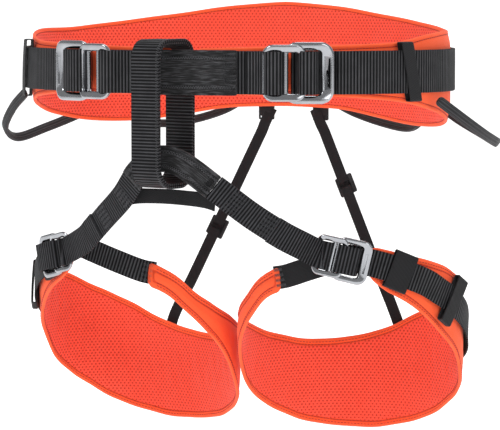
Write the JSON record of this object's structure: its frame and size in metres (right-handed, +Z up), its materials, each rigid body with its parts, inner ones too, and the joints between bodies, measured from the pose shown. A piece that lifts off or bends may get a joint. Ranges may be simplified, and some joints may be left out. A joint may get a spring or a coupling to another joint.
{
  "type": "tree climbing saddle",
  "caption": "Padded sit harness: waist belt with alloy buckles, tie-in loop, leg bridge, adjustable leg loops, elastic rear risers and gear loops.",
  "frame": {"origin": "centre of the wearer's waist, level with the middle of the belt webbing", "axes": "+X to the wearer's left, +Y to the wearer's back, +Z up; the tie-in loop faces -Y"},
  "size_m": [0.5472, 0.3667, 0.4601],
  "materials": {
    "webbing": "ribbed polyester webbing, matt black",
    "sleeve_fabric": "smooth woven wear sleeve, black",
    "elastic": "woven elastic, black",
    "spacer_mesh": "perforated spacer mesh, red orange",
    "shell_fabric": "smooth stretch fabric, orange",
    "pad_foam": "closed-cell foam, hidden",
    "buckle_metal": "polished forged light alloy",
    "gear_loop_plastic": "moulded black, ridged",
    "fitting_plastic": "moulded black acetal"
  },
  "bodies": {
    "waist": {"bridge_crossbar": "elastic", "bridge_sleeve": "sleeve_fabric", "riser_hook_left": "fitting_plastic", "riser_hook_right": "fitting_plastic", "riser_upper_left": "elastic", "riser_upper_right": "elastic", "tie_in_sleeve": "sleeve_fabric", "waist_buckle_left_frame": "buckle_metal", "waist_buckle_right_frame": "buckle_metal", "waist_keeper_left": "elastic", "waist_keeper_right": "elastic", "waist_pad_foam": "pad_foam", "waist_pad_lining": "spacer_mesh", "waist_pad_shell": "shell_fabric", "waist_tail_left": "webbing", "waist_tail_right": "webbing", "waist_webbing_back": "webbing", "waist_webbing_front": "webbing"},
    "tie_in": {"tie_in_loop": "webbing"},
    "leg_left": {"leg_pad_left_lining": "spacer_mesh", "leg_pad_left_foam": "pad_foam", "leg_pad_left_shell": "shell_fabric", "leg_webbing_left": "webbing", "leg_tab_left": "webbing", "leg_buckle_left_frame": "buckle_metal", "leg_keeper_slant_left": "elastic", "bridge_strap_left": "webbing", "riser_lower_left": "elastic"},
    "waist_slider_left": {"waist_buckle_left_slider": "buckle_metal"},
    "leg_slider_left": {"leg_buckle_left_slider": "buckle_metal"},
    "leg_keeper_left": {"leg_keeper_wide_left": "elastic"},
    "riser_lock_left": {"riser_adjuster_left": "fitting_plastic"},
    "gear_side_left": {"gear_loop_side_left": "gear_loop_plastic"},
    "gear_rear_left": {"gear_loop_rear_left": "gear_loop_plastic"},
    "leg_right": {"leg_pad_right_lining": "spacer_mesh", "leg_pad_right_foam": "pad_foam", "leg_pad_right_shell": "shell_fabric", "leg_webbing_right": "webbing", "leg_tab_right": "webbing", "leg_buckle_right_frame": "buckle_metal", "leg_keeper_slant_right": "elastic", "bridge_strap_right": "webbing", "riser_lower_right": "elastic"},
    "waist_slider_right": {"waist_buckle_right_slider": "buckle_metal"},
    "leg_slider_right": {"leg_buckle_right_slider": "buckle_metal"},
    "leg_keeper_right": {"leg_keeper_wide_right": "elastic"},
    "riser_lock_right": {"riser_adjuster_right": "fitting_plastic"},
    "gear_side_right": {"gear_loop_side_right": "gear_loop_plastic"},
    "gear_rear_right": {"gear_loop_rear_right": "gear_loop_plastic"}
  },
  "joints": [
    {"name": "tie_in_swing", "type": "hinge", "parent": "waist", "child": "tie_in", "pos_m": [-0.019, -0.16, 0.028], "axis": [-0.9703, 0.2419, 0], "range_deg": [0, 4]},
    {"name": "leg_lift_left", "type": "hinge", "parent": "waist", "child": "leg_left", "pos_m": [0, -0.17, -0.1], "axis": [1, 0, 0], "range_deg": [0, 14], "deforming": ["bridge_strap_left", "riser_lower_left"]},
    {"name": "waist_slider_tip_left", "type": "hinge", "parent": "waist", "child": "waist_slider_left", "pos_m": [0.12182, -0.14842, 0], "axis": [0, 0, 1], "range_deg": [0, 25]},
    {"name": "leg_slider_tip_left", "type": "hinge", "parent": "leg_left", "child": "leg_slider_left", "pos_m": [0.14281, -0.08431, -0.18919], "axis": [0.219, 0.0595, 0.9739], "range_deg": [0, 25]},
    {"name": "leg_keeper_slide_left", "type": "hinge", "parent": "leg_left", "child": "leg_keeper_left", "pos_m": [0.08924, 0.04848, -0.25764], "axis": [-0.0453, -0.5126, -0.8574], "range_deg": [-1.5, 1.5]},
    {"name": "riser_adjust_left", "type": "slide", "parent": "waist", "child": "riser_lock_left", "axis": [-0.424, 0.1757, 0.8884], "range_m": [-0.025, 0.025]},
    {"name": "leg_lift_right", "type": "hinge", "parent": "waist", "child": "leg_right", "pos_m": [0, -0.17, -0.1], "axis": [1, 0, 0], "range_deg": [0, 14], "deforming": ["bridge_strap_right", "riser_lower_right"]},
    {"name": "waist_slider_tip_right", "type": "hinge", "parent": "waist", "child": "waist_slider_right", "pos_m": [-0.12234, -0.14812, 0], "axis": [0, 0, -1], "range_deg": [0, 25]},
    {"name": "leg_slider_tip_right", "type": "hinge", "parent": "leg_right", "child": "leg_slider_right", "pos_m": [-0.17916, -0.06939, -0.19636], "axis": [0.2005, -0.1108, -0.9734], "range_deg": [0, 25]},
    {"name": "leg_keeper_slide_right", "type": "hinge", "parent": "leg_right", "child": "leg_keeper_right", "pos_m": [-0.08924, 0.04848, -0.25764], "axis": [-0.0453, 0.5126, 0.8574], "range_deg": [-1.5, 1.5]},
    {"name": "riser_adjust_right", "type": "slide", "parent": "waist", "child": "riser_lock_right", "axis": [0.3901, 0.1786, 0.9033], "range_m": [-0.025, 0.025]},
    {"name": "gear_side_left_lift", "type": "hinge", "parent": "waist", "child": "gear_side_left", "pos_m": [0.23033, -0.0431, -0.029], "axis": [0.2823, -0.9573, 0.0616], "range_deg": [0, 35]},
    {"name": "gear_side_right_lift", "type": "hinge", "parent": "waist", "child": "gear_side_right", "pos_m": [-0.23253, -0.02428, -0.028], "axis": [0.3139, 0.9406, -0.1294], "range_deg": [0, 35]},
    {"name": "gear_rear_left_lift", "type": "hinge", "parent": "waist", "child": "gear_rear_left", "pos_m": [0.04735, 0.16057, -0.038], "axis": [0.9254, -0.3764, -0.0441], "range_deg": [0, 35]},
    {"name": "gear_rear_right_lift", "type": "hinge", "parent": "waist", "child": "gear_rear_right", "pos_m": [-0.04735, 0.16057, -0.038], "axis": [0.9254, 0.3764, 0.0441], "range_deg": [0, 35]}
  ]
}
